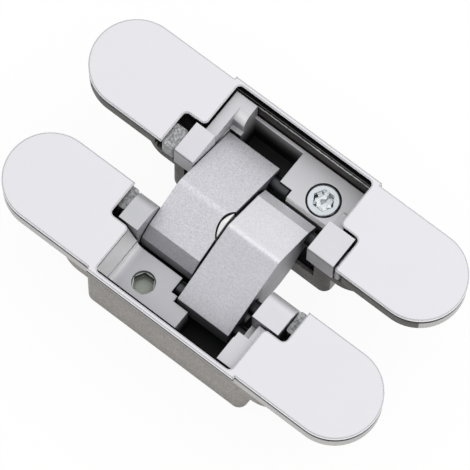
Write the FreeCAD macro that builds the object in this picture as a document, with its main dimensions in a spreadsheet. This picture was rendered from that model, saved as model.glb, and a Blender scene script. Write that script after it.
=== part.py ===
"""Concealed door hinge with two crossing arms, standing opened flat (180 degrees).

Frame: +X along the hinge, +Y from the front leaf to the rear leaf, +Z out of the cover plates.
The origin lies under the middle of the hinge, in the plane of the housings' flat bottoms.
Each leaf is drawn as the front one, with its outer edge towards -Y and its face at height 0, and
the rear leaf is the same drawing turned half round the Z axis with its own measures.
"""
import FreeCAD, Part
import math
import os
import re

import Sketcher

# Every driving size, in millimetres. "Leaf" sizes count from the hinge's middle plane outwards.
SIZES = {
    # leaf outline
    "leaf_length": 112.0,
    "leaf_width": 24.0,
    "leaf_inner": 6.2,
    "leaf_shift": 0.85,
    "face_height": 28.0,
    # cover plate
    "cover_thick": 1.2,
    "cover_strip": 0.4,
    "bulge": 0.8,
    "bulge_half": 22.6,
    "skirt_depth": 2.2,
    "skirt_thick": 0.8,
    "notch_half": 27.0,
    "notch_depth": 10.0,
    "window_half": 20.9,
    "window_corner": 1.3,
    "cover_edge": 0.25,
    "cover_peg_r": 1.4,
    "cover_peg_length": 2.0,
    "cover_peg_x": 34.5,
    "cover_peg_inset": 5.2,
    # housing
    "cover_shadow": 0.3,
    "flange_thick": 5.0,
    "flange_inset": 0.1,
    "body_inset": 0.8,
    "shallow_half": 38.0,
    "shallow_depth": 13.6,
    "shallow_floor": 12.0,
    "deep_half": 24.7,
    "deep_corner": 2.5,
    "floor_thick": 1.6,
    "deep_cavity_half": 23.6,
    "cavity_inner": 8.4,
    "wall": 0.8,
    "rebate": 0.3,
    "ear_opening_depth": 10.6,
    "arm_opening_depth": 20.5,
    "arm_opening_half": 20.4,
    "fixing_x": 44.0,
    "fixing_r": 2.3,
    "fixing_sink_r": 4.4,
    "fixing_boss_r": 6.6,
    "fixing_boss_depth": 7.5,
    # linkage, in section
    "pivot_out": 11.2,
    "pivot_depth": 9.5,
    "middle_depth": 13.5,
    "slider_out": 18.0,
    "slider_depth": 12.0,
    "slider_end_out": 14.2,
    "slider_end_depth": 15.15,
    "closed_gap": 4.5,
    "pin_r": 2.0,
    "middle_pin_r": 3.0,
    "running_fit": 0.05,
    "track_fit": 0.16,
    "pass_fit": 0.4,
    # arms
    "arm_middle": -1.7,
    "arm_gap": 0.8,
    "arm_width": 15.7,
    "ridge_out": 0.9,
    "ridge_rise": 0.4,
    "ridge_round": 2.4,
    "near_edge_out": 11.2,
    "near_edge_depth": 5.38,
    "far_edge_out": 21.0,
    "far_edge_depth": 9.2,
    "arm_end_round": 0.5,
    "middle_pin_length": 22.0,
    "washer_r": 9.2,
    "washer_thick": 1.4,
    "washer_fit": 0.15,
    "washer_lug_r": 5.6,
    "washer_lug_top": 0.45,
    "washer_edge": 0.3,
    # carriage
    "carriage_inner": 8.8,
    "carriage_outer": 28.7,
    "carriage_bottom": 25.0,
    "carriage_base": 2.2,
    "carriage_top": 2.4,
    "carriage_wall": 0.9,
    # bearing blocks
    "ear_top": 0.3,
    "ear_inner": 6.4,
    "ear_outer": 15.5,
    "ear_depth": 9.2,
    "block_outer": 21.5,
    "block_inner": 8.9,
    "track_top": 8.5,
    "tongue_half": 20.1,
    "shoe_inner": 6.5,
    "shoe_outer": 12.8,
    "shoe_bottom": 8.0,
    "shoe_reach": 28.1,
    "shoe_round": 0.75,
    "part_gap": 0.3,
    "depth_travel": 1.0,
    # screws
    "socket_flats": 5.0,
    "socket_depth": 2.4,
    "shank_r": 2.5,
    "screw_head": 3.0,
    "screw_edge": 0.5,
    "screw_tip_r": 1.5,
    "screw_tip_length": 1.2,
}

# Sizes that differ between the two leaves, written for a leaf drawn as the front one.
LEAVES = {
    "front": {
        "shift": "leaf_shift",
        "left_ear": -23.9,
        "left_face": -18.1,
        "right_face": 17.4,
        "right_ear": 25.3,
        "left_shoe": "-shoe_reach",
        "right_shoe": "shoe_reach",
        "ear_round": 4.2,
        "shoe_top": 2.5,
        "deck_depth": 10.5,
        "deck_inner": 15.6,
        "deck_foot": 15.5,
        "deck_round": 2.2,
        "case_left": -21.5,
        "case_right": 22.6,
        "ledge": -18.05,
        "flank_across": 3.2,
        "flank_down": 5.6,
        "notch_outer": 20.3,
        "pin_reach": 1.6,
        "well_to": 19.9,
        "well_out": 20.1,
        "far_from": -1.9,
        "far_to": 16.9,
        "cave_from": 2.6,
        "cave_to": 16.7,
        "screw_x": -10.7,
        "screw_out": 22.6,
        "screw_r": 3.0,
        "screw_top": 11.4,
    },
    "rear": {
        "shift": "leaf_shift",
        "left_ear": -25.3,
        "left_face": -17.4,
        "right_face": 18.1,
        "right_ear": 23.9,
        "left_shoe": -27.2,
        "right_shoe": "shoe_reach",
        "ear_round": 0.6,
        "shoe_top": 1.75,
        "deck_depth": 9.4,
        "deck_inner": 16.4,
        "deck_foot": 15.4,
        "deck_round": 3.5,
        "case_left": -20.4,
        "case_right": 21.5,
        "ledge": 18.3,
        "sweep_out": 23.1,
        "notch_outer": 18.5,
        "pin_reach": 3.4,
        "far_from": 0.0,
        "far_to": 18.1,
        "cave_from": 0.0,
        "cave_to": 15.0,
        "screw_x": -11.5,
        "screw_out": 21.2,
        "screw_r": 4.2,
        "screw_top": 9.2,
    },
}

doc = FreeCAD.newDocument("Hinge")
sheet = doc.addObject("Spreadsheet::Sheet", "Sizes")


def fill_sheet():
    """Write every size once, named, into the sheet."""
    rows = dict(SIZES)
    for leaf, values in LEAVES.items():
        for key, value in values.items():
            rows[f"{leaf}_{key}"] = value
    for number, (alias, value) in enumerate(rows.items(), start=1):
        sheet.set(f"A{number}", alias)
        sheet.set(f"B{number}", f"={value}" if isinstance(value, str) else str(value))
        sheet.setAlias(f"B{number}", alias)
    doc.recompute()


fill_sheet()
WORD = re.compile(r"[a-z][a-z_]*[a-z]")
FUNCTIONS = {"sin", "cos", "sqrt", "deg"}


def bound(text):
    """Turn size names in an expression into references to the sheet."""
    return WORD.sub(lambda m: m.group(0) if m.group(0) in FUNCTIONS else f"Sizes.{m.group(0)}", text)


def new_body(name):
    body = doc.addObject("PartDesign::Body", name)
    body.Label = name
    return body


def plane_of(body, role):
    return next(f for f in body.Origin.OriginFeatures if f.Role == role)


def new_sketch(body, role, offset):
    """A sketch on one of the body's own planes, moved along the plane's normal."""
    sketch = body.newObject("Sketcher::SketchObject", f"{body.Name}_sketch")
    sketch.AttachmentSupport = [(plane_of(body, role), "")]
    sketch.MapMode = "FlatFace"
    sketch.setExpression("AttachmentOffset.Base.z", bound(offset))
    return sketch


def fix(sketch, kind, index, point, expression):
    """Tie one coordinate of a sketch point to an expression, measured from the sketch's origin."""
    number = sketch.addConstraint(Sketcher.Constraint(kind, -1, 1, index, point, 1.0))
    sketch.setExpression(f"Constraints[{number}]", bound(expression))


def polygon(body, role, offset, points):
    """Closed outline whose corners are all tied to the sheet."""
    sketch = new_sketch(body, role, offset)
    count = len(points)
    spots = []
    for index in range(count):
        angle = 2 * math.pi * index / count
        spots.append(FreeCAD.Vector(math.cos(angle), math.sin(angle), 0))
    for index in range(count):
        sketch.addGeometry(Part.LineSegment(spots[index], spots[(index + 1) % count]), False)
    for index in range(count):
        sketch.addConstraint(Sketcher.Constraint("Coincident", index, 2, (index + 1) % count, 1))
    for index, (across, up) in enumerate(points):
        fix(sketch, "DistanceX", index, 1, across)
        fix(sketch, "DistanceY", index, 1, up)
    return sketch


def circles(body, role, offset, spots, radius):
    """One or more equal circles whose centres and radius are tied to the sheet."""
    sketch = new_sketch(body, role, offset)
    for index, (across, up) in enumerate(spots):
        centre = FreeCAD.Vector(index * 5.0, index * 3.0, 0)
        sketch.addGeometry(Part.Circle(centre, FreeCAD.Vector(0, 0, 1), 1.0), False)
        number = sketch.addConstraint(Sketcher.Constraint("Radius", index, 1.0))
        sketch.setExpression(f"Constraints[{number}]", bound(radius))
        fix(sketch, "DistanceX", index, 3, across)
        fix(sketch, "DistanceY", index, 3, up)
    return sketch


def rectangle(x_from, x_to, y_from, y_to):
    return [(x_from, y_from), (x_to, y_from), (x_to, y_to), (x_from, y_to)]


def add(body, sketch, length):
    """Add material from the sketch along its plane's normal."""
    pad = body.newObject("PartDesign::Pad", f"{body.Name}_pad")
    pad.Profile = sketch
    pad.setExpression("Length", bound(length))
    body.Tip = pad
    return pad


def cut(body, sketch, length):
    """Take material away from the sketch along its plane's normal."""
    pocket = body.newObject("PartDesign::Pocket", f"{body.Name}_pocket")
    pocket.Profile = sketch
    pocket.Reversed = True
    pocket.setExpression("Length", bound(length))
    body.Tip = pocket
    return pocket


def dress(body, kind, size, wanted):
    """Fillet or chamfer the edges of the body's last feature that a test picks."""
    doc.recompute()
    base = body.Tip
    names = [f"Edge{n}" for n, edge in enumerate(base.Shape.Edges, start=1) if wanted(edge)]
    if not names:
        raise ValueError(f"no edge of {body.Name} fits the test")
    feature = body.newObject(f"PartDesign::{kind}", f"{body.Name}_{kind.lower()}")
    feature.Base = (base, names)
    feature.setExpression("Radius" if kind == "Fillet" else "Size", bound(size))
    body.Tip = feature
    doc.recompute()
    return feature


def size_of(alias):
    return float(sheet.get(alias))


def upright_at(spots, tolerance=0.05):
    """Test for edges along Z through any of the given (x, y) spots."""
    def test(edge):
        if len(edge.Vertexes) != 2:
            return False
        first, last = edge.Vertexes[0].Point, edge.Vertexes[1].Point
        if abs(first.x - last.x) > tolerance or abs(first.y - last.y) > tolerance:
            return False
        return any(math.hypot(first.x - x, first.y - y) < tolerance for x, y in spots)
    return test


def at_height(height, tolerance=0.01):
    """Test for edges lying flat at one height."""
    return lambda edge: all(abs(v.Point.z - height) < tolerance for v in edge.Vertexes)


def place(body, turned, shift="0"):
    """Lift a leaf's piece to its height and, for the rear leaf, turn it half round."""
    body.setExpression("Placement.Base.z", bound("face_height"))
    body.setExpression("Placement.Base.x", bound(shift))
    if turned:
        body.Placement.Rotation = FreeCAD.Rotation(FreeCAD.Vector(0, 0, 1), 180)


MIDDLE_LINE = "-(leaf_inner + leaf_width / 2)"


def cover(leaf):
    """C-shaped cover plate: two round ends joined by a narrow strip along the outer edge."""
    body = new_body(f"{leaf}_cover")
    low = "-cover_thick"
    end_x = "leaf_length / 2 - leaf_width / 2"
    outer = "-(leaf_inner + leaf_width)"
    add(body, polygon(body, "XY_Plane", low, rectangle(f"-({end_x})", end_x, outer, "-leaf_inner")),
        "cover_thick")
    ends = [(f"-({end_x})", MIDDLE_LINE), (end_x, MIDDLE_LINE)]
    add(body, circles(body, "XY_Plane", low, ends, "leaf_width / 2"), "cover_thick")
    bulge_y = "-(leaf_inner + leaf_width + bulge)"
    skirt = rectangle("-bulge_half", "bulge_half", bulge_y, f"{bulge_y} + skirt_thick")
    add(body, polygon(body, "XY_Plane", "-skirt_depth", skirt), "skirt_depth")
    step = "-(leaf_inner + notch_depth)"
    cut(body, polygon(body, "XY_Plane", low, rectangle("-notch_half", "notch_half", step, "0")),
        "cover_thick")
    strip = "-(leaf_inner + leaf_width - cover_strip)"
    cut(body, polygon(body, "XY_Plane", low, rectangle("-window_half", "window_half", strip, "0")),
        "cover_thick")
    step_y = -(size_of("leaf_inner") + size_of("notch_depth"))
    strip_y = -(size_of("leaf_inner") + size_of("leaf_width") - size_of("cover_strip"))
    corners = []
    for side in (-1, 1):
        corners.append((side * size_of("notch_half"), step_y))
        corners.append((side * size_of("window_half"), step_y))
        corners.append((side * size_of("window_half"), strip_y))
    dress(body, "Fillet", "window_corner", upright_at(corners))
    dress(body, "Fillet", "cover_edge", at_height(0.0))
    pegs = []
    for side in ("-cover_peg_x", "cover_peg_x"):
        pegs.append((side, "-(leaf_inner + cover_peg_inset)"))
        pegs.append((side, "-(leaf_inner + leaf_width - cover_peg_inset)"))
    peg_low = "-(cover_thick + cover_peg_length)"
    add(body, circles(body, "XY_Plane", peg_low, pegs, "cover_peg_r"), "cover_peg_length + 0.1")
    place(body, leaf == "rear", "leaf_shift" if leaf == "front" else "-leaf_shift")
    return body


def obround(body, inset, half, low, high):
    """Long slot-shaped layer of a housing between two depths."""
    radius = f"(leaf_width / 2 - {inset})"
    centre = f"({half} - leaf_width / 2 + {inset})"
    outline = rectangle(f"-{centre}", centre, f"-(leaf_inner + leaf_width - {inset})",
                        f"-(leaf_inner + {inset})")
    add(body, polygon(body, "XY_Plane", f"-({low})", outline), f"{low} - ({high})")
    ends = [(f"-{centre}", MIDDLE_LINE), (centre, MIDDLE_LINE)]
    add(body, circles(body, "XY_Plane", f"-({low})", ends, radius), f"{low} - ({high})")


def housing(leaf):
    """Die-cast mortise body: flange, shallow round-ended part and deep middle part."""
    body = new_body(f"{leaf}_housing")
    shoe_room = "(shoe_reach + leaf_shift + running_fit)"
    top = "cover_thick + cover_shadow"
    flange_low = f"{top} + flange_thick"
    obround(body, "flange_inset", "(leaf_length / 2 - flange_inset)", flange_low, top)
    obround(body, "body_inset", "shallow_half", "shallow_depth", top)
    inner_wall = "-(leaf_inner + body_inset)"
    outer_wall = "-(leaf_inner + leaf_width - rebate)"
    add(body, polygon(body, "XY_Plane", "-face_height",
                      rectangle("-deep_half", "deep_half", outer_wall, inner_wall)),
        f"face_height - ({top})")
    half = size_of("deep_half")
    wall_in = -(size_of("leaf_inner") + size_of("body_inset"))
    wall_out = -(size_of("leaf_inner") + size_of("leaf_width") - size_of("rebate"))
    corners = [(x, y) for x in (-half, half) for y in (wall_in, wall_out)]
    dress(body, "Fillet", "deep_corner", lambda edge: upright_at(corners)(edge)
          and edge.BoundBox.ZMin < -size_of("shallow_depth") - 1)
    bosses = [("-fixing_x", MIDDLE_LINE), ("fixing_x", MIDDLE_LINE)]
    add(body, circles(body, "XY_Plane", "-fixing_boss_depth", bosses, "fixing_boss_r"),
        f"fixing_boss_depth - ({top})")
    shallow_outer = "-(leaf_inner + leaf_width - body_inset - wall)"
    cavities = [(shoe_room, "shallow_floor", shallow_outer),
                ("deep_cavity_half", "(face_height - floor_thick)", f"{outer_wall} + wall")]
    for across, floor, outer in cavities:
        cut(body, polygon(body, "XY_Plane", f"-{floor}",
                          rectangle(f"-{across}", across, outer, "-cavity_inner")), "face_height")
    around = rectangle("-bulge_half - rebate", "bulge_half + rebate", "-(leaf_inner + leaf_width + 1)",
                       "-(leaf_inner + leaf_width - rebate)")
    cut(body, polygon(body, "XY_Plane", "-(skirt_depth + rebate)", around), "face_height")
    openings = [(shoe_room, "ear_opening_depth"), ("arm_opening_half", "arm_opening_depth")]
    for across, floor in openings:
        cut(body, polygon(body, "XY_Plane", f"-{floor}",
                          rectangle(f"-{across}", across, "-(cavity_inner + part_gap)", "0")),
            "face_height")
    cut(body, circles(body, "XY_Plane", "-face_height", bosses, "fixing_r"), "face_height")
    sink_x = size_of("fixing_x")
    rim = size_of("fixing_r")
    top_z = -(size_of("cover_thick") + size_of("cover_shadow"))
    dress(body, "Chamfer", "fixing_sink_r - fixing_r", lambda edge: at_height(top_z)(edge)
          and isinstance(edge.Curve, Part.Circle) and abs(edge.Curve.Radius - rim) < 0.01
          and abs(abs(edge.Curve.Center.x) - sink_x) < 0.01)
    if leaf == "front":
        spot = [("front_screw_x - leaf_shift", "-front_screw_out")]
        cut(body, circles(body, "XY_Plane", "-(face_height - floor_thick + screw_tip_length)", spot,
                          "screw_tip_r + running_fit"), "face_height")
    pegs = []
    for side in ("-cover_peg_x", "cover_peg_x"):
        pegs.append((side, "-(leaf_inner + cover_peg_inset)"))
        pegs.append((side, "-(leaf_inner + leaf_width - cover_peg_inset)"))
    cut(body, circles(body, "XY_Plane", "-(cover_thick + cover_peg_length + part_gap)", pegs,
                      "cover_peg_r + running_fit"), "face_height")
    place(body, leaf == "rear", "leaf_shift" if leaf == "front" else "-leaf_shift")
    return body


def along(axis, alias, depth, sign=1):
    """Picks the level edge that lies at one place across the body and at one depth."""
    spot, z = sign * size_of(alias), -size_of(depth)
    return lambda edge: all(abs(v.Point[axis] - spot) < 0.01 and abs(v.Point.z - z) < 0.01
                            for v in edge.Vertexes)


def carriage(leaf):
    """Inner casting that carries the bearing blocks, with its screw deck and arm cavity."""
    body = new_body(f"{leaf}_carriage")
    base_top = "(carriage_bottom - carriage_base)"
    back = "-(carriage_outer - carriage_wall)"
    deck = f"{leaf}_deck_depth"
    add(body, polygon(body, "XY_Plane", "-carriage_bottom",
                      rectangle(f"{leaf}_case_left", f"{leaf}_case_right", "-carriage_outer",
                                "-carriage_inner")), "carriage_base")
    add(body, polygon(body, "XY_Plane", f"-{base_top} - 0.1",
                      rectangle(f"{leaf}_case_left", f"{leaf}_case_right", "-carriage_outer",
                                "-(ear_outer + part_gap)")),
        f"{base_top} - carriage_top + 0.1")
    beyond = "-(carriage_outer + 1)"
    if leaf == "front":
        sunk = rectangle("front_ledge", "front_cave_to", beyond, "0")
    else:
        sunk = rectangle("rear_case_left - 1", "rear_cave_to", beyond, "0")
    cut(body, polygon(body, "XY_Plane", f"-{deck}", sunk), "face_height")
    if leaf == "front":
        dress(body, "Fillet", "front_deck_round", along(0, "front_ledge", "front_deck_depth"))
        flank = dress(body, "Chamfer", "front_flank_across", along(0, "front_ledge", "carriage_top"))
        flank.ChamferType = "Two distances"
        flank.FlipDirection = True
        flank.setExpression("Size2", bound("front_flank_down"))
    else:
        swept = rectangle("rear_cave_to - 0.1", "rear_ledge", "-rear_sweep_out", "0")
        cut(body, polygon(body, "XY_Plane", f"-{deck}", swept), "face_height")
        dress(body, "Fillet", "rear_deck_round", along(1, "rear_sweep_out", "carriage_top", -1))
    split = "-(slider_out + pin_r + 1.9)"
    cut(body, polygon(body, "XY_Plane", f"-{base_top}",
                      rectangle(f"{leaf}_cave_from", f"{leaf}_cave_to", back, "0")), "face_height")
    cut(body, polygon(body, "XY_Plane", f"-{base_top}",
                      rectangle(f"{leaf}_far_from", f"{leaf}_far_to", split, "0")), "face_height")
    front_edge = section(("0", "0"), (f"{leaf}_deck_inner", "0"), (f"{leaf}_deck_inner", deck),
                         (f"{leaf}_deck_foot", f"{deck} + 3"), (f"{leaf}_deck_foot", base_top),
                         ("0", base_top))
    cut(body, polygon(body, "YZ_Plane", f"{leaf}_left_face", front_edge),
        f"{leaf}_far_from + 0.1 - ({leaf}_left_face)")
    slots = [(f"{leaf}_case_left - 1", f"{leaf}_left_face + 0.1"),
             (f"{leaf}_right_face - 0.8", f"{leaf}_case_right + 1")]
    for x_from, x_to in slots:
        cut(body, polygon(body, "XY_Plane", f"-{base_top}",
                          rectangle(x_from, x_to, "-(block_outer + part_gap)", "0")),
            f"{base_top} - (track_top - part_gap)")
    tip = f"{leaf}_far_from - {leaf}_pin_reach - part_gap"
    track(body, tip, f"{leaf}_pin_reach + part_gap + 0.2")
    cut(body, polygon(body, "XY_Plane", "-slider_depth",
                      rectangle(tip, f"{leaf}_far_from + 0.1", f"-{leaf}_notch_outer", "0")),
        "face_height")
    if leaf == "front":
        well = rectangle("front_cave_to - 0.1", "front_well_to", "-front_well_out",
                         "-(ear_outer - 1)")
        cut(body, polygon(body, "XY_Plane", "-track_top", well), "face_height")
    centre = [(f"{leaf}_screw_x", f"-{leaf}_screw_out")]
    if leaf == "front":
        cut(body, circles(body, "XY_Plane", "-carriage_bottom", centre,
                          "front_screw_r + running_fit"), "carriage_bottom")
    else:
        cut(body, circles(body, "XY_Plane", "-(rear_screw_top + screw_head + 0.2)", centre,
                          "rear_screw_r + 0.35"), "screw_head + 1")
        cut(body, circles(body, "XY_Plane", "-carriage_bottom", centre, "shank_r + running_fit"),
            "carriage_bottom")
    place(body, leaf == "rear")
    return body


def section(*points):
    """Corner list for an outline in the YZ plane from (outwards, depth) pairs."""
    return [(f"-({out})", f"-({depth})") for out, depth in points]


def track(body, x_from, length):
    """Slanted slot that guides the slider pin as the hinge folds."""
    half = "(pin_r + track_fit)"
    run_out = "(slider_out - slider_end_out)"
    run_down = "(slider_end_depth - slider_depth)"
    run = f"sqrt({run_out}^2 + {run_down}^2)"
    over_out = f"{half} * {run_down} / {run}"
    over_down = f"{half} * {run_out} / {run}"
    outline = section((f"slider_out - {over_out}", f"slider_depth - {over_down}"),
                      (f"slider_out + {over_out}", f"slider_depth + {over_down}"),
                      (f"slider_end_out + {over_out}", f"slider_end_depth + {over_down}"),
                      (f"slider_end_out - {over_out}", f"slider_end_depth - {over_down}"))
    cut(body, polygon(body, "YZ_Plane", x_from, outline), length)
    ends = [("-slider_out", "-slider_depth"), ("-slider_end_out", "-slider_end_depth")]
    for end in ends:
        cut(body, circles(body, "YZ_Plane", x_from, [end], half), length)


def block(leaf, side):
    """Bearing block at one end of a carriage, with the pivot bore and the slider's track."""
    body = new_body(f"{leaf}_{side}_block")
    face = f"{leaf}_{side}_face"
    ear = f"{leaf}_{side}_ear"
    tongue = "-tongue_half" if side == "left" else "tongue_half"
    base_top = "(carriage_bottom - carriage_base)"
    low, high = (ear, face) if side == "left" else (face, ear)
    ear_outline = section(("ear_inner", "ear_top"), ("ear_outer", "ear_top"),
                          ("ear_outer", "shallow_floor - depth_travel - part_gap"),
                          ("block_inner", "shallow_floor - depth_travel - part_gap"),
                          ("block_inner", "ear_depth"), ("ear_inner", "ear_depth"))
    add(body, polygon(body, "YZ_Plane", low, ear_outline), f"{high} - ({low})")
    edge_y = -size_of("ear_inner")
    edge_z = -size_of("ear_top")
    dress(body, "Fillet", f"{leaf}_ear_round", lambda edge: all(
        abs(v.Point.y - edge_y) < 0.01 and abs(v.Point.z - edge_z) < 0.01 for v in edge.Vertexes))
    low, high = (tongue, face) if side == "left" else (face, tongue)
    tongue_outline = section(("block_inner", "track_top"), ("block_outer", "track_top"),
                             ("block_outer", base_top), ("block_inner", base_top))
    add(body, polygon(body, "YZ_Plane", low, tongue_outline), f"{high} - ({low})")
    bore = [("-pivot_out", "-pivot_depth")]
    cut(body, circles(body, "YZ_Plane", "-tongue_half - 0.05", bore, "pin_r + running_fit"),
        "2 * tongue_half + 0.1")
    track(body, "-tongue_half - 0.05", "2 * tongue_half + 0.1")
    place(body, leaf == "rear")
    return body


def shoe(leaf, side):
    """Small raw-cast guide shoe beside an ear, reaching under the edge of the cover plate."""
    body = new_body(f"{leaf}_{side}_shoe")
    ear = f"{leaf}_{side}_ear"
    reach = f"{leaf}_{side}_shoe"
    if side == "left":
        low, high = reach, f"({ear} - part_gap)"
    else:
        low, high = f"({ear} + part_gap)", reach
    add(body, polygon(body, "XY_Plane", "-shoe_bottom",
                      rectangle(low, high, "-shoe_outer", "-shoe_inner")),
        f"shoe_bottom - {leaf}_shoe_top")
    dress(body, "Fillet", "shoe_round", lambda edge: edge.BoundBox.ZLength > 1)
    place(body, leaf == "rear")
    return body


def screw(leaf):
    """Socket screw standing upright in the deck."""
    body = new_body(f"{leaf}_screw")
    centre = [(f"{leaf}_screw_x", f"-{leaf}_screw_out")]
    foot = "(carriage_bottom - carriage_base)"
    if leaf == "front":
        seat = "(face_height - floor_thick - part_gap)"
        add(body, circles(body, "XY_Plane", f"-{seat}", centre, "front_screw_r"),
            f"{seat} - front_screw_top")
        add(body, circles(body, "XY_Plane", f"-{seat} - screw_tip_length", centre, "screw_tip_r"),
            "screw_tip_length + 0.1")
    else:
        add(body, circles(body, "XY_Plane", f"-{foot}", centre, "shank_r"),
            f"{foot} - rear_screw_top")
        add(body, circles(body, "XY_Plane", "-(rear_screw_top + screw_head)", centre, "rear_screw_r"),
            "screw_head")
        dress(body, "Fillet", "screw_edge", at_height(-size_of("rear_screw_top")))
    corners = []
    for number in range(6):
        angle = 60 * number
        corners.append((f"{leaf}_screw_x + socket_flats / sqrt(3) * cos({angle} deg)",
                        f"-{leaf}_screw_out + socket_flats / sqrt(3) * sin({angle} deg)"))
    cut(body, polygon(body, "XY_Plane", f"-({leaf}_screw_top + socket_depth)", corners),
        "socket_depth + 1")
    place(body, leaf == "rear")
    return body


def cross_pin(name, x_from, x_to, spot, radius, turned, end_round=0.3):
    """Plain ground pin along X."""
    body = new_body(name)
    add(body, circles(body, "YZ_Plane", x_from, [spot], radius), f"{x_to} - ({x_from})")
    dress(body, "Chamfer", str(end_round), lambda edge: isinstance(edge.Curve, Part.Circle))
    place(body, turned)
    return body


def arm(number):
    """Crossing arm: roof-shaped bridge with its pivot bore, middle bore and slider bore.

    Arm 1 pivots in the front leaf. Arm 2 is the same drawing turned half round.
    """
    body = new_body(f"arm_{number}")
    near_x = "arm_width + arm_gap / 2"
    sign = "+" if number == 1 else "-"
    low = f"{sign} arm_middle - ({near_x})"
    outline = section(("-ridge_out", "-ridge_rise"), ("near_edge_out", "near_edge_depth"),
                      ("near_edge_out + 3.0", "near_edge_depth + 3.0"),
                      ("near_edge_out + 3.7", "near_edge_depth + 5.6"), ("12.8", "13.5"),
                      ("8.5", "14.6"), ("4.0", "18.8"), ("0", "middle_depth + 6.0"),
                      ("-12", "18.2"), ("-18.6", "15.4"), ("-21.6", "14.2"),
                      ("-far_edge_out", "far_edge_depth"))
    add(body, polygon(body, "YZ_Plane", low, outline), "arm_width")
    ridge_y = size_of("ridge_out")
    ridge_z = size_of("ridge_rise")
    dress(body, "Fillet", "ridge_round", lambda edge: all(
        abs(v.Point.y - ridge_y) < 0.01 and abs(v.Point.z - ridge_z) < 0.01 for v in edge.Vertexes))
    bores = [("-pivot_out", "-pivot_depth", "pin_r + running_fit"),
             ("0", "-middle_depth", "middle_pin_r + running_fit"),
             ("slider_out", "-slider_depth", "pin_r + running_fit")]
    for out, depth, radius in bores:
        length = "arm_width" if out != "0" else "middle_pin_length / 2"
        start = low if out != "0" else f"{sign} arm_middle - arm_gap / 2 - middle_pin_length / 2"
        cut(body, circles(body, "YZ_Plane", start, [(out, depth)], radius), f"{length} + 0.1")
    passage(body, low)
    if number == 1:
        pocket(body)
    place(body, number == 2)
    return body


def passage(body, low):
    """Curved slot in the arm's far half, through which the other arm's pivot pin passes."""
    half = "(pin_r + pass_fit)"
    turn = math.radians(21.53)
    centre = (0.0, -size_of("middle_depth"))
    start = (size_of("pivot_out"), -size_of("pivot_depth"))
    rel = (start[0] - centre[0], start[1] - centre[1])
    for step in range(7):
        angle = -turn * step / 6
        spot = (centre[0] + rel[0] * math.cos(angle) - rel[1] * math.sin(angle),
                centre[1] + rel[0] * math.sin(angle) + rel[1] * math.cos(angle))
        cut(body, circles(body, "YZ_Plane", low, [(str(spot[0]), str(spot[1]))], half),
            "arm_width + 0.1")


def pocket(body):
    """Recess in the first arm's inner face for the middle washer and its round lug."""
    face = "arm_middle - arm_gap / 2"
    depth = "washer_thick + washer_fit"
    cut(body, circles(body, "YZ_Plane", f"{face} - ({depth})", [("0", "-middle_depth")],
                      "washer_r + washer_fit"), f"{depth} + 0.1")
    cut(body, circles(body, "XY_Plane", "-middle_depth",
                      [(f"{face} - washer_thick + washer_lug_r + washer_fit", "-ridge_out")],
                      "washer_lug_r + 3 * washer_fit"), "face_height")


def washer():
    """Middle washer between the arms, with a round-fronted lug that fills the ridge recess."""
    body = new_body("middle_washer")
    face = "arm_middle - arm_gap / 2"
    add(body, circles(body, "YZ_Plane", f"{face} - washer_thick", [("0", "-middle_depth")],
                      "washer_r"), "washer_thick")
    low = "-middle_depth"
    lug = circles(body, "XY_Plane", low,
                  [(f"{face} - washer_thick + washer_lug_r + washer_fit", "-ridge_out")],
                  "washer_lug_r")
    add(body, lug, "middle_depth - washer_lug_top")
    dress(body, "Fillet", "washer_edge", at_height(-size_of("washer_lug_top")))
    cut(body, polygon(body, "YZ_Plane", face, rectangle("-face_height", "face_height",
                                                       "-face_height", "face_height")),
        "face_height")
    over = section(("-ridge_out", "washer_fit - ridge_rise"),
                   ("near_edge_out", "near_edge_depth + washer_fit"),
                   ("near_edge_out", "-face_height"), ("-far_edge_out", "-face_height"),
                   ("-far_edge_out", "far_edge_depth + washer_fit"))
    cut(body, polygon(body, "YZ_Plane", "-face_height", over), "2 * face_height")
    cut(body, circles(body, "YZ_Plane", "-face_height", [("0", "-middle_depth")],
                      "middle_pin_r + running_fit"), "2 * face_height")
    place(body, False)
    return body


parts = []
for leaf_name in LEAVES:
    parts.append(cover(leaf_name))
    parts.append(housing(leaf_name))
    parts.append(carriage(leaf_name))
    for end in ("left", "right"):
        parts.append(block(leaf_name, end))
        parts.append(shoe(leaf_name, end))
    parts.append(screw(leaf_name))
    rear = leaf_name == "rear"
    pivot = ("-pivot_out", "-pivot_depth")
    slider = ("-slider_out", "-slider_depth")
    reach = "(tongue_half - 0.1)"
    parts.append(cross_pin(f"{leaf_name}_pivot_pin", f"-{reach}", reach, pivot, "pin_r", rear))
    parts.append(cross_pin(f"{leaf_name}_slider_pin", f"({leaf_name}_far_from - {leaf_name}_pin_reach)", reach,
                           slider, "pin_r", rear))
parts.append(arm(1))
parts.append(arm(2))
middle_from = "arm_middle - arm_gap / 2 - middle_pin_length / 2 + 0.2"
middle_to = "arm_middle + arm_gap / 2 + middle_pin_length / 2 - 0.2"
parts.append(cross_pin("middle_pin", middle_from, middle_to, ("0", "-middle_depth"),
                       "middle_pin_r", False))
parts.append(washer())

doc.recompute()
os.makedirs("parts", exist_ok=True)
for item in doc.Objects:
    if "Invalid" in item.State or "Error" in item.State:
        raise ValueError(f"{item.Name} is {item.State}")
for item in parts:
    if item.Shape.isNull() or not item.Shape.isValid():
        raise ValueError(f"{item.Label} has no valid shape")
    item.Shape.exportStep(f"parts/{item.Label}.step")
    box = item.Shape.BoundBox
    print(item.Label, len(item.Shape.Solids), round(item.Shape.Volume, 1),
          [round(v, 2) for v in (box.XMin, box.YMin, box.ZMin, box.XMax, box.YMax, box.ZMax)])
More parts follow.
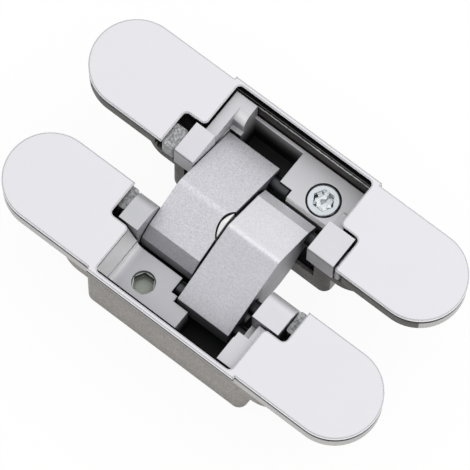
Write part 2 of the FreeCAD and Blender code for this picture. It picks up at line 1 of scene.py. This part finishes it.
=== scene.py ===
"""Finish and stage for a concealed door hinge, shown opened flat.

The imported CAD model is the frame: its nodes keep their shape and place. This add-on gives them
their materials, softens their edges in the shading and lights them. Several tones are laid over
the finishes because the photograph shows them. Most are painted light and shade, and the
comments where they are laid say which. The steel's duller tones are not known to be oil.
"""

import math

import bmesh
import bpy
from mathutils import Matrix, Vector

bl_info = {
    "name": "Concealed Hinge Finish",
    "version": (1, 0, 0),
    "blender": (4, 5, 0),
    "location": "View3D > Sidebar > Hinge",
    "description": "Dresses and lights a concealed three-way adjustable door hinge",
    "category": "Material",
}

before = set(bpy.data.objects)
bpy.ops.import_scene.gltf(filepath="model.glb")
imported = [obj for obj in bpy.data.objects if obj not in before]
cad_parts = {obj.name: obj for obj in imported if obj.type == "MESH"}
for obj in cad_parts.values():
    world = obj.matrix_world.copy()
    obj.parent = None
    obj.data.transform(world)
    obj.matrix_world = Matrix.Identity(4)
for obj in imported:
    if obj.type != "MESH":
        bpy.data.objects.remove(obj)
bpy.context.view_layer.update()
MM = 0.001

# Lengths in millimetres: how far round a point walls are looked for, to tell a cavity that gets
# painted shade or a key socket that gets painted glints from an open face, the waves of a ragged
# border, and the size of a painted glint in the key socket.
CAVITY_REACH = 14
SOCKET_REACH = 3
RIPPLE = 0.9
PAINTED_GLINT = 1.1

# Ways that a face looks: an axis of its direction, where a tone sets in and where it is full.
# Upright takes in undersides too, and sloping takes in level tops.
UPRIGHT = ("Z", 0.6, 0.3)
SLOPING = ("Z", 0.05, 0.3)
LEVEL = ("Z", 0.7, 0.95)
LEDGE_TOP = ("Z", 0.6, 0.9)
NEAR_SIDE = ("Y", -0.5, -0.9)
NEAR_SLOPE = ("Y", -0.08, -0.2)
FAR_SLOPE = ("Y", -0.08, 0.08)
RIGHT_SIDE = ("X", 0.5, 0.9)

# Tones that are laid over more than one finish. The dark ones are painted shade; white is painted
# light where it is laid over a finish.
WHITE = "#FFFFFF"
HOLLOW_SHADE = "#1A1A1C"
SHADOW_LINE = "#08080A"
CAVITY_SHADE = "#0C0C0E"
SHADED_SIDE = "#4E4D53"

# The stage, in metres and degrees, with the lens in millimetres. The camera was fitted to the
# photograph. The floor lies a little under the hinge, so that no face of it lies in the floor.
CAMERA_PLACE = (0.196337, -0.272397, 1.074086)
CAMERA_TURN = (17.6678, -0.66506, 37.8449)
CAMERA_LENS = 344.18
SOFT_BOX_PLACE = (0.26, 0.44, 0.42)
SOFT_BOX_AIM = (0, 0, 0.02)
SOFT_BOX_SIDES = (0.5, 0.35)
FLOOR_GAP = 0.05 * MM

# How much of the floor's look is plain white, the room's light at the horizon as a share of the
# light overhead, and how high a direction points, as a sine, where the light is full.
FLOOR_WHITE = 0.93
HORIZON_LIGHT = 0.25
FULL_LIGHT_FROM = 0.6


def linear(hex_colour):
    """The linear RGBA of an sRGB colour written as #RRGGBB."""
    channels = [int(hex_colour[i:i + 2], 16) / 255 for i in (1, 3, 5)]
    return tuple(c / 12.92 if c <= 0.04045 else ((c + 0.055) / 1.055) ** 2.4
                 for c in channels) + (1.0,)


def colour(name, description, hex_colour):
    """A colour that a user can change."""
    return bpy.props.FloatVectorProperty(name=name, description=description, size=4,
                                         subtype="COLOR", min=0, max=1,
                                         default=linear(hex_colour))


def length(name, description, millimetres):
    """A length that a user can change."""
    return bpy.props.FloatProperty(name=name, description=description, unit="LENGTH",
                                   min=0, default=millimetres * MM, precision=5)


class HingeColours(bpy.types.PropertyGroup):
    """Colours of the finishes."""
    cover: colour("Cover", "Satin coat of the two cover plates", "#E5E4E9")
    housing: colour("Housing", "Bare tumbled zinc of the mortise bodies", "#B0ABA7")
    carriage: colour("Carriage", "Silver lacquer of the inner castings", "#D2D2D6")
    block: colour("Bearing block", "Silver lacquer of the bearing blocks", "#DCDBE0")
    # Painted shade: the grey block is a darker copy of the block lacquer, for the front left
    # block.
    shaded_block: colour("Grey block", "Greyer look of the front left block", "#C6C6CA")
    shoe: colour("Shoe", "Raw sand-grey zinc of the guide shoes", "#D0D1D3")
    arm: colour("Arm", "Blasted and lacquered zinc of the crossing arms", "#E6E5EB")
    steel: colour("Steel", "Bright zinc-plated steel of the clamp screw", "#DFE5EA")
    dull_steel: colour("Dull steel", "Duller, olive look of the depth screw", "#B4BAB1")
    # Painted shade: the pins' steel is given a dark tone.
    pin: colour("Pin", "Ground steel of the pins", "#56585C")
    washer: colour("Washer", "White acetal of the middle washer", "#F4F4F2")


class HingeSizes(bpy.types.PropertyGroup):
    """Sizes of edges and surface grain. Real pits and tool marks are as a rule finer than a pixel
    of the photograph, so the grains are drawn as coarse as they need to show."""
    cast_edge: length("Cast edge", "Radius of the castings' softened edges", 0.3)
    cover_edge: length("Cover edge", "Radius of the covers' rounded rim", 0.7)
    blast_grain: length("Blast grain", "Spacing of the fine pits of smooth finishes", 0.45)
    sand_grain: length("Raw cast grain", "Spacing of the grains on the raw castings", 0.6)
    turning: length("Turning marks", "Spacing of the marks on steel", 0.35)


class HingeStage(bpy.types.PropertyGroup):
    """Light of the studio."""
    room: bpy.props.FloatProperty(name="Room light", min=0, default=1.3,
                                  description="Strength of the even light of the room")
    lamp: bpy.props.FloatProperty(name="Soft box", unit="POWER", min=0, default=0.7,
                                  description="Power of the soft box behind the hinge")


def add(tree, kind, inputs=None, **settings):
    """Adds a node with its settings. An input is given a value, or a socket to link from. The
    numbered inputs of a Map Range are 0 for the value, 1 and 2 for the range that it comes from
    and 3 and 4 for the one it goes to. Those of a colour Mix are 6, 7 and the share 0."""
    node = tree.nodes.new(kind)
    for key, value in settings.items():
        setattr(node, key, value)
    for key, value in (inputs or {}).items():
        if isinstance(value, bpy.types.NodeSocket):
            tree.links.new(value, node.inputs[key])
        else:
            node.inputs[key].default_value = value
    return node


def new_material(name, shader_inputs):
    """A material with one principled shader on its output; returns both and their tree."""
    material = bpy.data.materials.new(name)
    material.use_nodes = True
    tree = material.node_tree
    tree.nodes.clear()
    shader = add(tree, "ShaderNodeBsdfPrincipled", shader_inputs)
    add(tree, "ShaderNodeOutputMaterial", {"Surface": shader.outputs["BSDF"]})
    return material, shader, tree


def between(tree, value, low, high, soft):
    """One inside a range given in millimetres, and nought outside it, with soft ends."""
    rise = add(tree, "ShaderNodeMapRange", {0: value, 1: (low - soft) * MM,
                                            2: (low + soft) * MM, 3: 0.0, 4: 1.0})
    fall = add(tree, "ShaderNodeMapRange", {0: value, 1: (high - soft) * MM,
                                            2: (high + soft) * MM, 3: 1.0, 4: 0.0})
    return add(tree, "ShaderNodeMath", {0: rise.outputs[0], 1: fall.outputs[0]},
               operation="MULTIPLY").outputs[0]


def lay_over(tree, tone, mask):
    """Mixes a tone over whatever colours the shader so far."""
    shader = tree.nodes["Principled BSDF"]
    below = shader.inputs["Base Color"].links[0].from_socket
    laid = add(tree, "ShaderNodeMix", {6: below, 7: tone, 0: mask}, data_type="RGBA")
    tree.links.new(laid.outputs[2], shader.inputs["Base Color"])


def surface(name, base, metallic, rough, grain, relief, edge, speckle, mottle, wear_and_edge_light=0.3,
            rim_tone="#F2F2F2", rim_full=0.8, cloud=9, hollow_shade=0.9, hollow_shade_to=0.38,
            shade_depth=0.2, specular=0.5):
    """A cast, plated or moulded surface: fine pits, slow cloudy shade, edges in a tone of their
    own, partly worn and partly painted light, and painted shade wherever walls stand close round
    a point, as a darker tone and then a dark coat. The grain, relief and edge are in metres and
    the cloud is in millimetres. The rim's tone is full where the cosine of an edge's turn falls
    to rim_full, and the dark coat of painted shade ends at the openness given for it."""
    material, shader, tree = new_material(name, {"Metallic": metallic,
                                                 "Specular IOR Level": specular})
    place = add(tree, "ShaderNodeTexCoord").outputs["Object"]
    fine = add(tree, "ShaderNodeTexNoise", {"Vector": place, "Scale": 1 / grain, "Detail": 3.0,
                                            "Roughness": 0.6}).outputs["Fac"]
    slow = add(tree, "ShaderNodeTexNoise", {"Vector": place, "Scale": 1 / (cloud * MM),
                                            "Detail": 4.0}).outputs["Fac"]
    rounded = add(tree, "ShaderNodeBevel", {"Radius": edge}, samples=8).outputs["Normal"]
    true = add(tree, "ShaderNodeNewGeometry").outputs["True Normal"]
    turned = add(tree, "ShaderNodeVectorMath", {0: rounded, 1: true}, operation="DOT_PRODUCT")
    # The edges' own tone is partly wear and partly painted light.
    rim = add(tree, "ShaderNodeMapRange", {0: turned.outputs["Value"], 1: 0.99, 2: rim_full,
                                           3: 0.0, 4: wear_and_edge_light})
    # Painted shade: darker, and then under a dark coat, where walls stand close round a point.
    openness = add(tree, "ShaderNodeAmbientOcclusion", {"Distance": CAVITY_REACH * MM},
                   samples=6).outputs["AO"]
    shade = add(tree, "ShaderNodeMapRange", {0: openness, 1: 0.25, 2: 0.85,
                                             3: 1 - shade_depth, 4: 1.0}).outputs[0]
    for pattern, high, share in ((slow, 0.7, mottle), (fine, 0.65, speckle)):
        patch = add(tree, "ShaderNodeMapRange", {0: pattern, 1: 0.3, 2: high, 3: 1 - share,
                                                 4: 1.0})
        shade = add(tree, "ShaderNodeMath", {0: shade, 1: patch.outputs[0]},
                    operation="MULTIPLY").outputs[0]
    tone = add(tree, "ShaderNodeVectorMath", {0: base[:3], "Scale": shade}, operation="SCALE")
    rimmed = add(tree, "ShaderNodeMix", {6: tone.outputs["Vector"], 7: linear(rim_tone),
                                         0: rim.outputs[0]}, data_type="RGBA")
    hollow_shade_mask = add(tree, "ShaderNodeMapRange", {0: openness, 1: 0.1, 2: hollow_shade_to, 3: hollow_shade, 4: 0.0})
    hollow_shaded = add(tree, "ShaderNodeMix", {6: rimmed.outputs[2], 7: linear(HOLLOW_SHADE),
                                         0: hollow_shade_mask.outputs[0]}, data_type="RGBA")
    tree.links.new(hollow_shaded.outputs[2], shader.inputs["Base Color"])
    gloss = add(tree, "ShaderNodeMapRange", {0: slow, 1: 0.3, 2: 0.7, 3: rough * 0.9,
                                             4: rough * 1.15})
    tree.links.new(gloss.outputs[0], shader.inputs["Roughness"])
    bump = add(tree, "ShaderNodeBump", {"Height": fine, "Normal": rounded, "Strength": 0.6,
                                        "Distance": relief})
    tree.links.new(bump.outputs["Normal"], shader.inputs["Normal"])
    return material


def overlay(material, tone, share, spans=None, facing=None, soft=0.1, ragged=0.0):
    """Lays a tone over a finish. The spans are millimetres of X, Y and Z, with X and Y counted
    from the middle both ways, so that they serve both leaves. The way that a face looks is one
    of those named above. The border of a Z span wanders by ragged, in millimetres."""
    tree = material.node_tree
    coordinates = add(tree, "ShaderNodeTexCoord")
    mask = share
    if facing:
        axis, low, high = facing
        turn = add(tree, "ShaderNodeSeparateXYZ", {"Vector": coordinates.outputs["Normal"]})
        turn = add(tree, "ShaderNodeMapRange", {0: turn.outputs[axis], 1: low, 2: high, 3: 0.0,
                                                4: 1.0})
        mask = add(tree, "ShaderNodeMath", {0: turn.outputs[0], 1: mask},
                   operation="MULTIPLY").outputs[0]
    axes = add(tree, "ShaderNodeSeparateXYZ", {"Vector": coordinates.outputs["Object"]})
    for axis, (low, high) in (spans or {}).items():
        value = axes.outputs[axis]
        if axis != "Z":
            value = add(tree, "ShaderNodeMath", {0: value}, operation="ABSOLUTE").outputs[0]
        elif ragged:
            ripple = add(tree, "ShaderNodeTexNoise", {
                "Vector": coordinates.outputs["Object"], "Scale": 1 / (RIPPLE * MM)})
            value = add(tree, "ShaderNodeMath", {0: ripple.outputs["Fac"], 1: ragged * MM,
                                                 2: value}, operation="MULTIPLY_ADD").outputs[0]
        inside = between(tree, value, low, high, soft)
        mask = add(tree, "ShaderNodeMath", {0: inside, 1: mask}, operation="MULTIPLY").outputs[0]
    lay_over(tree, linear(tone), mask)


def painted_glints(material, dark, bright, size, share):
    """Paints glints of painted reflection where the finish is sunk, as in a key socket."""
    tree = material.node_tree
    sunk = add(tree, "ShaderNodeAmbientOcclusion", {"Distance": SOCKET_REACH * MM}, samples=6)
    sunk = add(tree, "ShaderNodeMapRange", {0: sunk.outputs["AO"], 1: 0.85, 2: 0.6, 3: 0.0,
                                            4: share})
    cells = add(tree, "ShaderNodeTexVoronoi", {
        "Vector": add(tree, "ShaderNodeTexCoord").outputs["Object"], "Scale": 1 / size})
    pick = add(tree, "ShaderNodeSeparateXYZ", {"Vector": cells.outputs["Color"]})
    step = add(tree, "ShaderNodeMapRange", {0: pick.outputs["X"], 1: 0.3, 2: 0.7, 3: 0.0,
                                            4: 1.0})
    painted_glint = add(tree, "ShaderNodeMix", {6: linear(dark), 7: linear(bright), 0: step.outputs[0]},
                data_type="RGBA")
    lay_over(tree, painted_glint.outputs[2], sunk.outputs[0])


def dress(nodes, material):
    """Gives CAD nodes one material."""
    for name in nodes:
        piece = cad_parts[name]
        piece.data.materials.clear()
        piece.data.materials.append(material)


class HINGE_OT_covers(bpy.types.Operator):
    """Finish the two cover plates"""
    bl_idname = "hinge.covers"
    bl_label = "Cover plates"

    def execute(self, context):
        colours, sizes = context.scene.hinge_colours, context.scene.hinge_sizes
        # Pressed zinc plate, satin chrome plated: an even pale face with hardly any grain, and a
        # thin dark line round its rim, which is painted shade on the rounded edge.
        finish = surface("satin_chrome_plated_zinc", colours.cover, metallic=0.25, rough=0.45,
                         grain=sizes.blast_grain, relief=0.002 * MM, edge=sizes.cover_edge,
                         speckle=0.01, mottle=0.01, wear_and_edge_light=0.9, rim_tone="#34353A",
                         rim_full=0.93, hollow_shade=0.5, shade_depth=0.0, specular=0.2)
        # In the photograph a white line runs over a black one down the cover's side, and the
        # side of its window is black.
        top_line = {"Z": (27.1, 28.1)}
        low_line = {"Z": (25.0, 27.1)}
        window = {"X": (-1, 24.5), "Y": (8, 30.2), "Z": (25.0, 27.6)}
        # Painted reflection: the white line down the cover's side. Painted shadow: the black line
        # under it and the black of the window's side.
        overlay(finish, WHITE, 1.0, top_line, UPRIGHT, soft=0.05)
        overlay(finish, SHADOW_LINE, 1.0, low_line, UPRIGHT, soft=0.05)
        overlay(finish, SHADOW_LINE, 1.0, window, UPRIGHT, soft=0.05)
        dress(["front_cover", "rear_cover"], finish)
        return {"FINISHED"}


class HINGE_OT_housings(bpy.types.Operator):
    """Finish the two mortise bodies"""
    bl_idname = "hinge.housings"
    bl_label = "Mortise bodies"

    def execute(self, context):
        colours, sizes = context.scene.hinge_colours, context.scene.hinge_sizes
        # Die-cast zinc, tumbled and left bare: a warm dull grey, cloudy, with a fine rough skin.
        finish = surface("tumbled_bare_zinc", colours.housing, metallic=0.6, rough=0.5,
                         grain=sizes.sand_grain, relief=0.12 * MM, edge=sizes.cast_edge,
                         speckle=0.5, mottle=0.25, wear_and_edge_light=0.4, cloud=4, specular=0.1)
        # In the photograph the flange's rim is pale with a black line over it, under the cover,
        # and the walls that face each other between the leaves are dark brown.
        rim = {"Z": (21.4, 25.4)}
        under_cover = {"Z": (25.4, 26.6)}
        shaded_facing_walls = {"Y": (5.5, 8.6), "Z": (-1, 26)}
        overlay(finish, "#D8D8D8", 0.6, rim, UPRIGHT)
        # Painted shadow: the black line under the cover. Painted shade: the dark brown of the
        # facing walls.
        overlay(finish, SHADOW_LINE, 1.0, under_cover, UPRIGHT)
        overlay(finish, "#2E2B27", 0.85, shaded_facing_walls, UPRIGHT)
        # Its rear gap shows a black wall and ledge, with a grey band and above it two pale
        # lines, the lower one broken. The front body, which hides this, gets the same.
        room = {"X": (-1, 22.4), "Y": (8, 29.5)}
        ledge = {"X": (-1, 22.4), "Y": (29.0, 30.35), "Z": (25, 26.7)}
        # Painted shade: the black wall and ledge; the grey band and pale lines over them are
        # painted light.
        overlay(finish, CAVITY_SHADE, 1.0, {**room, "Z": (1.2, 26.6)})
        overlay(finish, CAVITY_SHADE, 1.0, ledge, LEDGE_TOP)
        overlay(finish, "#4E4B47", 0.9, {**room, "Z": (18.6, 23.8)}, soft=0.6, ragged=0.6)
        overlay(finish, "#F0F0EE", 1.0, {**room, "Z": (24.3, 25.2)}, soft=0.15, ragged=1.2)
        overlay(finish, "#A8A8A6", 0.8, {**room, "Z": (26.1, 26.5)}, soft=0.1, ragged=0.3)
        dress(["front_housing", "rear_housing"], finish)
        return {"FINISHED"}


class HINGE_OT_carriages(bpy.types.Operator):
    """Finish the inner castings, their bearing blocks and the guide shoes"""
    bl_idname = "hinge.carriages"
    bl_label = "Inner castings"

    def execute(self, context):
        colours, sizes = context.scene.hinge_colours, context.scene.hinge_sizes
        # Die-cast zinc under a thin silver lacquer: pale, nearly matt, with a faint cast skin.
        finish = surface("silver_lacquered_zinc", colours.carriage, metallic=0.45, rough=0.45,
                         grain=sizes.blast_grain, relief=0.02 * MM, edge=sizes.cast_edge,
                         speckle=0.05, mottle=0.07, wear_and_edge_light=0.35, hollow_shade_to=0.2, shade_depth=0.35)
        # In the photograph the arms' cavity is dark, and nearly black in the front leaf. The
        # slanted flank beside the front deck is paler than that low deck, and the deck is greyer
        # than the other tops.
        shaded_cavity = {"Z": (-9, 13)}
        lit_flank = {"Z": (16.5, 26)}
        tops = {"Z": (16.5, 29)}
        shaded_front_deck = {"Z": (16.5, 18)}
        # Painted shade: the dark cavity and the greyer front deck. Painted light: the white
        # flank. The level tops get the plain lacquer tone laid flat over the surface's darkening.
        overlay(finish, "#1B1B1D", 1.0, shaded_cavity, soft=4.0)
        overlay(finish, WHITE, 1.0, lit_flank, SLOPING, soft=0.4)
        overlay(finish, "#D2D2D6", 1.0, tops, LEVEL, soft=0.4)
        overlay(finish, "#BFBFC4", 1.0, shaded_front_deck, LEVEL, soft=0.4)
        dress(["front_carriage", "rear_carriage"], finish)
        # The same lacquer on smaller castings, drawn smoother. In the photograph the front left
        # block is greyer than the others, and near sides are darker where they show.
        for nodes, base in ((["front_right_block", "rear_left_block", "rear_right_block"],
                             colours.block), (["front_left_block"], colours.shaded_block)):
            finish = surface("silver_lacquered_zinc_smooth", base, metallic=0.5, rough=0.4,
                             grain=sizes.blast_grain, relief=0.01 * MM, edge=sizes.cast_edge,
                             speckle=0.03, mottle=0.04)
            # Painted shade: the darker near sides, and the front left block's greyer copy of the
            # lacquer.
            overlay(finish, SHADED_SIDE, 0.65, facing=NEAR_SIDE)
            dress(nodes, finish)
        # Zinc left as it leaves the mould: dull, darker, with a sandy grain that shows.
        finish = surface("raw_cast_zinc", colours.shoe, metallic=0.5, rough=0.6,
                         grain=sizes.sand_grain, relief=0.12 * MM, edge=sizes.cast_edge,
                         speckle=0.75, mottle=0.1, wear_and_edge_light=0.1, hollow_shade_to=0.22)
        dress(["front_left_shoe", "front_right_shoe", "rear_left_shoe", "rear_right_shoe"],
              finish)
        return {"FINISHED"}


class HINGE_OT_arms(bpy.types.Operator):
    """Finish the two crossing arms"""
    bl_idname = "hinge.arms"
    bl_label = "Crossing arms"

    def execute(self, context):
        colours, sizes = context.scene.hinge_colours, context.scene.hinge_sizes
        # Die-cast zinc, bead blasted and lacquered silver: an even grey with a speckle of pits.
        # In the photograph both arms are dark at the near end, the first one more so, and the
        # side that shows on the right is darker too. The second arm's near slope is darker than
        # its far one.
        for arm, end, near, far in (("arm_1", 0.75, 0.08, 0.0), ("arm_2", 0.6, 0.3, 0.35)):
            finish = surface(f"blasted_lacquered_zinc_{arm}", colours.arm, metallic=0.6,
                             rough=0.5, grain=sizes.blast_grain, relief=0.05 * MM,
                             edge=sizes.cast_edge, speckle=0.25, mottle=0.04)
            # Painted light and shade: a darker near slope, a paler far slope, and darker near
            # ends and right sides.
            overlay(finish, "#A8A8AE", near, facing=NEAR_SLOPE)
            overlay(finish, "#FDFCFF", far, facing=FAR_SLOPE)
            overlay(finish, SHADED_SIDE, end, facing=NEAR_SIDE)
            overlay(finish, SHADED_SIDE, 0.6, facing=RIGHT_SIDE)
            dress([arm], finish)
        return {"FINISHED"}


class HINGE_OT_steel(bpy.types.Operator):
    """Finish the pins and screws"""
    bl_idname = "hinge.steel"
    bl_label = "Pins and screws"

    def execute(self, context):
        colours, sizes = context.scene.hinge_colours, context.scene.hinge_sizes
        # Ground steel with a dark tone that is painted shade, darkest where the pins leave the
        # castings.
        finish = surface("ground_steel_painted_dark", colours.pin, metallic=1.0, rough=0.35,
                         grain=sizes.turning, relief=0.01 * MM, edge=sizes.cast_edge,
                         speckle=0.06, mottle=0.08, wear_and_edge_light=0.1, hollow_shade_to=0.8)
        dress(["front_pivot_pin", "rear_pivot_pin", "front_slider_pin", "rear_slider_pin",
               "middle_pin"], finish)
        # Cold-headed steel, bright zinc plated: glossy and cool, its pressed socket a scatter of
        # blue-black and white glints, which are painted reflections.
        finish = surface("bright_zinc_plated_steel", colours.steel, metallic=0.9, rough=0.22,
                         grain=sizes.turning, relief=0.01 * MM, edge=sizes.cast_edge,
                         speckle=0.06, mottle=0.08, wear_and_edge_light=0.2)
        painted_glints(finish, "#16222A", "#F8FDFF", size=PAINTED_GLINT * MM, share=0.95)
        dress(["rear_screw"], finish)
        # The same plating in a duller, olive-grey tone, with painted shade on its upright faces.
        finish = surface("dull_zinc_plated_steel", colours.dull_steel, metallic=0.9, rough=0.3,
                         grain=sizes.turning, relief=0.01 * MM, edge=sizes.cast_edge,
                         speckle=0.1, mottle=0.15, wear_and_edge_light=0.7, hollow_shade_to=0.5)
        overlay(finish, "#23261F", 0.85, facing=UPRIGHT)
        dress(["front_screw"], finish)
        return {"FINISHED"}


class HINGE_OT_washer(bpy.types.Operator):
    """Finish the washer between the arms"""
    bl_idname = "hinge.washer"
    bl_label = "Middle washer"

    def execute(self, context):
        colours, sizes = context.scene.hinge_colours, context.scene.hinge_sizes
        # Injection-moulded acetal: white, waxy and smooth.
        finish = surface("moulded_acetal", colours.washer, metallic=0.0, rough=0.35,
                         grain=sizes.blast_grain, relief=0.004 * MM, edge=sizes.cast_edge,
                         speckle=0.01, mottle=0.03, wear_and_edge_light=0.0, hollow_shade=0.4)
        dress(["middle_washer"], finish)
        return {"FINISHED"}


class HINGE_OT_stage(bpy.types.Operator):
    """Set the floor, the light and the camera"""
    bl_idname = "hinge.stage"
    bl_label = "Stage"

    def execute(self, context):
        scene, stage = context.scene, context.scene.hinge_stage
        scene.view_settings.view_transform = "Standard"
        self.floor(scene)
        self.room(scene, stage.room)
        self.soft_box(scene, stage.lamp)
        self.camera(scene)
        return {"FINISHED"}

    def floor(self, scene):
        """A pale floor that reads as white paper and keeps a soft shadow."""
        mesh = bpy.data.meshes.new("floor")
        sheet = bmesh.new()
        bmesh.ops.create_grid(sheet, x_segments=1, y_segments=1, size=2.0)
        sheet.to_mesh(mesh)
        sheet.free()
        floor = bpy.data.objects.new("floor", mesh)
        floor.location.z = -FLOOR_GAP
        scene.collection.objects.link(floor)
        material, shader, tree = new_material("white_paper", {
            "Base Color": linear(WHITE), "Roughness": 0.9})
        ray = add(tree, "ShaderNodeLightPath")
        seen = add(tree, "ShaderNodeMath", {0: ray.outputs["Is Camera Ray"],
                                            1: ray.outputs["Is Glossy Ray"]},
                   operation="MAXIMUM")
        share = add(tree, "ShaderNodeMath", {0: seen.outputs["Value"], 1: FLOOR_WHITE},
                    operation="MULTIPLY")
        white = add(tree, "ShaderNodeEmission", {"Color": (1, 1, 1, 1), "Strength": 1.0})
        mixed = add(tree, "ShaderNodeMixShader", {0: share.outputs["Value"],
                                                  1: shader.outputs["BSDF"],
                                                  2: white.outputs["Emission"]})
        tree.links.new(mixed.outputs["Shader"],
                       tree.nodes["Material Output"].inputs["Surface"])
        mesh.materials.append(material)

    def room(self, scene, strength):
        """An even room, darker towards the horizon, that the camera sees as white."""
        world = bpy.data.worlds.new("studio")
        scene.world = world
        world.use_nodes = True
        tree = world.node_tree
        tree.nodes.clear()
        up = add(tree, "ShaderNodeSeparateXYZ", {
            "Vector": add(tree, "ShaderNodeTexCoord").outputs["Generated"]})
        level = add(tree, "ShaderNodeMapRange", {0: up.outputs["Z"], 1: 0.0, 2: FULL_LIGHT_FROM,
                                                 3: HORIZON_LIGHT, 4: 1.0})
        power = add(tree, "ShaderNodeMath", {0: level.outputs[0], 1: strength},
                    operation="MULTIPLY")
        light = add(tree, "ShaderNodeBackground", {"Strength": power.outputs["Value"]})
        white = add(tree, "ShaderNodeBackground", {"Color": (1, 1, 1, 1), "Strength": 1.0})
        seen = add(tree, "ShaderNodeLightPath").outputs["Is Camera Ray"]
        mixed = add(tree, "ShaderNodeMixShader", {0: seen, 1: light.outputs["Background"],
                                                  2: white.outputs["Background"]})
        add(tree, "ShaderNodeOutputWorld", {"Surface": mixed.outputs["Shader"]})

    def soft_box(self, scene, power):
        """A wide soft lamp, high behind the hinge."""
        light = bpy.data.lights.new("soft_box", "AREA")
        light.shape = "RECTANGLE"
        light.size, light.size_y = SOFT_BOX_SIDES
        light.energy = power
        box = bpy.data.objects.new("soft_box", light)
        box.location = SOFT_BOX_PLACE
        aim = Vector(SOFT_BOX_AIM) - box.location
        box.rotation_euler = aim.to_track_quat("-Z", "Y").to_euler()
        scene.collection.objects.link(box)

    def camera(self, scene):
        """The photograph's own view, through a long lens."""
        lens = bpy.data.cameras.new("camera")
        lens.sensor_width, lens.lens, lens.clip_start = 36, CAMERA_LENS, 0.01
        camera = bpy.data.objects.new("camera", lens)
        camera.location = CAMERA_PLACE
        camera.rotation_euler = [math.radians(angle) for angle in CAMERA_TURN]
        scene.collection.objects.link(camera)
        scene.camera = camera


OPERATORS = (HINGE_OT_covers, HINGE_OT_housings, HINGE_OT_carriages, HINGE_OT_arms,
             HINGE_OT_steel, HINGE_OT_washer, HINGE_OT_stage)


class HINGE_PT_pieces(bpy.types.Panel):
    """The hinge's pieces, in the order they are dressed"""
    bl_idname = "HINGE_PT_pieces"
    bl_label = "Concealed hinge"
    bl_space_type = "VIEW_3D"
    bl_region_type = "UI"
    bl_category = "Hinge"

    def draw(self, context):
        for operator in OPERATORS:
            self.layout.operator(operator.bl_idname)


CLASSES = (HingeColours, HingeSizes, HingeStage) + OPERATORS + (HINGE_PT_pieces,)


def register():
    for cls in CLASSES:
        bpy.utils.register_class(cls)
    bpy.types.Scene.hinge_colours = bpy.props.PointerProperty(type=HingeColours)
    bpy.types.Scene.hinge_sizes = bpy.props.PointerProperty(type=HingeSizes)
    bpy.types.Scene.hinge_stage = bpy.props.PointerProperty(type=HingeStage)


def unregister():
    del bpy.types.Scene.hinge_stage, bpy.types.Scene.hinge_sizes, bpy.types.Scene.hinge_colours
    for cls in reversed(CLASSES):
        bpy.utils.unregister_class(cls)


def main():
    """Registers the add-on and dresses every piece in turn."""
    register()
    for operator in OPERATORS:
        group, name = operator.bl_idname.split(".")
        getattr(getattr(bpy.ops, group), name)()


if __name__ == "__main__":
    main()
